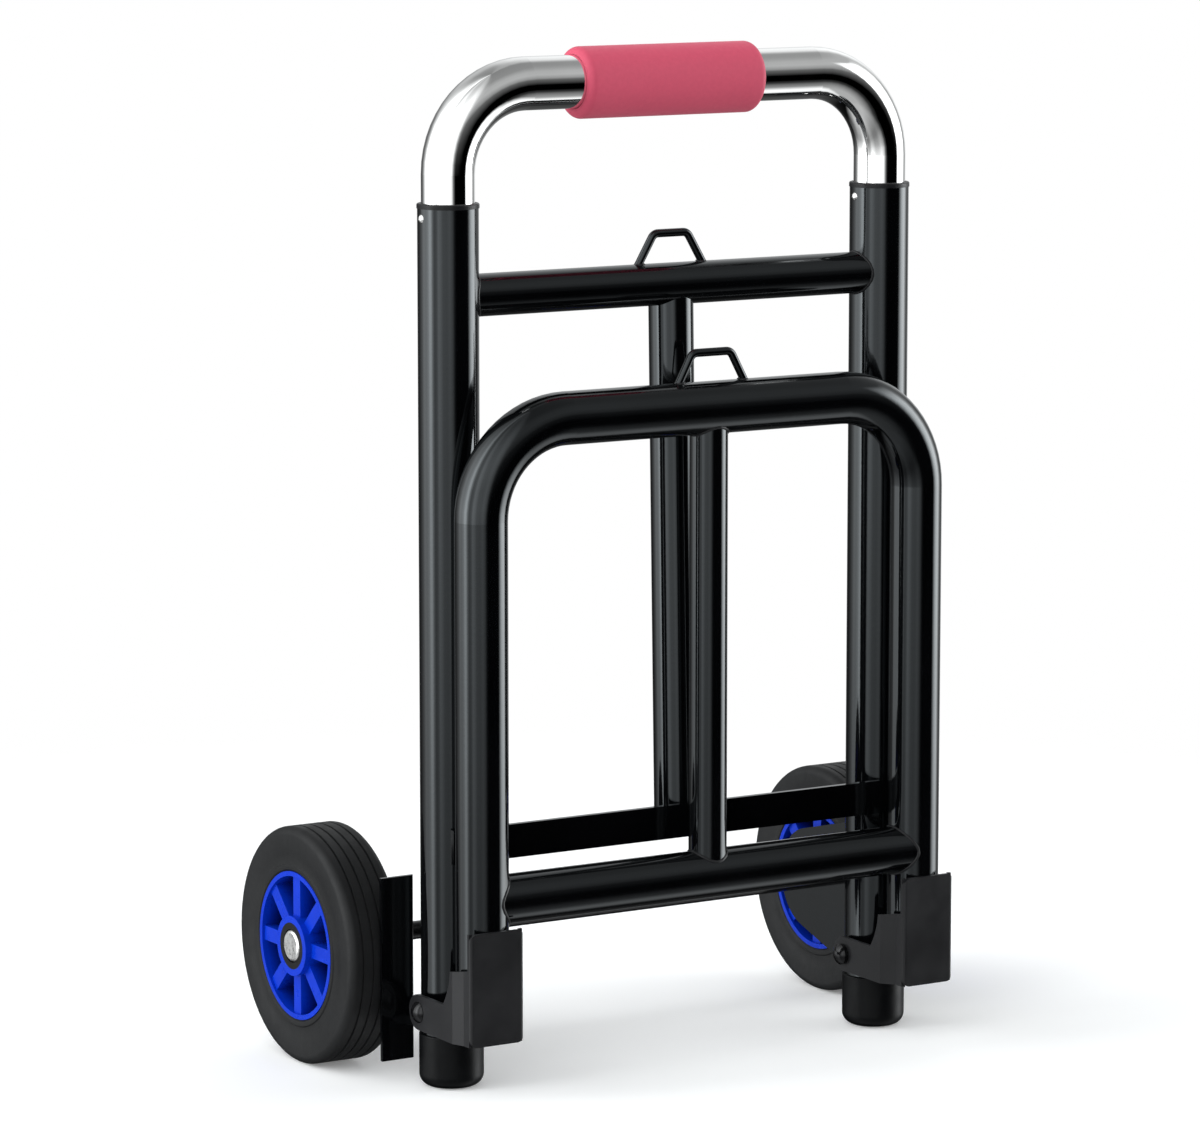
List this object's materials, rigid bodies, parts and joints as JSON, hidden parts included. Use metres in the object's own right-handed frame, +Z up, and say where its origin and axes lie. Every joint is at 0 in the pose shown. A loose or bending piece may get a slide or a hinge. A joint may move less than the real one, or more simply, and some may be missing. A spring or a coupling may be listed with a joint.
{
  "type": "folding luggage cart",
  "caption": "Folding luggage cart with a telescoping tube handle, foam grip, hinged tube platform, rubber foot caps and spoked wheels on a through axle, shown folded.",
  "frame": {"origin": "middle of the bounding box at floor level, under the space between the uprights and the axle", "axes": "+Z up along the uprights, +X across the cart towards its right-hand wheel, +Y from the platform side back towards the wheels"},
  "size_m": [0.3702, 0.199, 0.5444],
  "materials": {
    "gloss_black_tube": "glossy black baked enamel on steel tube",
    "satin_black_sheet": "satin black enamel on pressed steel",
    "black_wire": "glossy black enamel on steel wire",
    "chrome_tube": "bright chrome plate",
    "pink_foam": "matt closed-cell foam",
    "black_plastic": "moulded black plastic",
    "black_rubber": "smooth black rubber",
    "tyre_rubber": "dark grey moulded tyre",
    "blue_plastic": "glossy bright blue moulded plastic",
    "black_washer": "black oxide steel",
    "zinc_steel": "bright zinc-plated steel"
  },
  "bodies": {
    "frame": {"axle": "black_washer", "axle_bracket_left": "gloss_black_tube", "axle_bracket_right": "gloss_black_tube", "axle_cap_nuts": "zinc_steel", "axle_spacers": "black_plastic", "axle_washers": "black_washer", "bush_rivets": "zinc_steel", "foot_cap_left": "black_rubber", "foot_cap_right": "black_rubber", "guide_bush_left": "black_plastic", "guide_bush_right": "black_plastic", "lower_flat_bar": "gloss_black_tube", "pivot_bolt_left": "black_washer", "pivot_bolt_right": "black_washer", "pivot_nut_left": "black_washer", "pivot_nut_right": "black_washer", "pivot_washers": "black_plastic", "rear_centre_tube": "gloss_black_tube", "upper_cord_hook": "black_wire", "upper_crossbar": "gloss_black_tube", "upright_left": "gloss_black_tube", "upright_right": "gloss_black_tube"},
    "handle": {"handle_tube": "chrome_tube", "grip": "pink_foam", "leg_slider_left": "black_plastic", "leg_slider_right": "black_plastic", "snap_spring_left": "zinc_steel", "snap_spring_right": "zinc_steel"},
    "button_left": {"snap_button_left": "zinc_steel"},
    "button_right": {"snap_button_right": "zinc_steel"},
    "platform": {"hinge_bracket_left": "satin_black_sheet", "hinge_bracket_right": "satin_black_sheet", "platform_centre_tube": "gloss_black_tube", "platform_cord_hook": "black_wire", "platform_crossbar": "gloss_black_tube", "platform_frame": "gloss_black_tube"},
    "wheel_left": {"tyre_left": "tyre_rubber", "rim_left": "blue_plastic", "hub_bush_left": "black_plastic"},
    "wheel_right": {"tyre_right": "tyre_rubber", "rim_right": "blue_plastic", "hub_bush_right": "black_plastic"}
  },
  "joints": [
    {"name": "handle_slide", "type": "slide", "parent": "frame", "child": "handle", "axis": [0, 0, 1], "range_m": [0, 0.32]},
    {"name": "button_left_press", "type": "slide", "parent": "handle", "child": "button_left", "axis": [0, 1, 0], "range_m": [0, 0.0035]},
    {"name": "button_right_press", "type": "slide", "parent": "handle", "child": "button_right", "axis": [0, 1, 0], "range_m": [0, 0.0035]},
    {"name": "platform_fold", "type": "hinge", "parent": "frame", "child": "platform", "pos_m": [0, -0.0485, 0.041], "axis": [1, 0, 0], "range_deg": [0, 90]},
    {"name": "wheel_left_spin", "type": "hinge", "parent": "frame", "child": "wheel_left", "pos_m": [-0.1665, 0.0355, 0.064], "axis": [1, 0, 0], "continuous": true},
    {"name": "wheel_right_spin", "type": "hinge", "parent": "frame", "child": "wheel_right", "pos_m": [0.1665, 0.0355, 0.064], "axis": [1, 0, 0], "continuous": true}
  ]
}
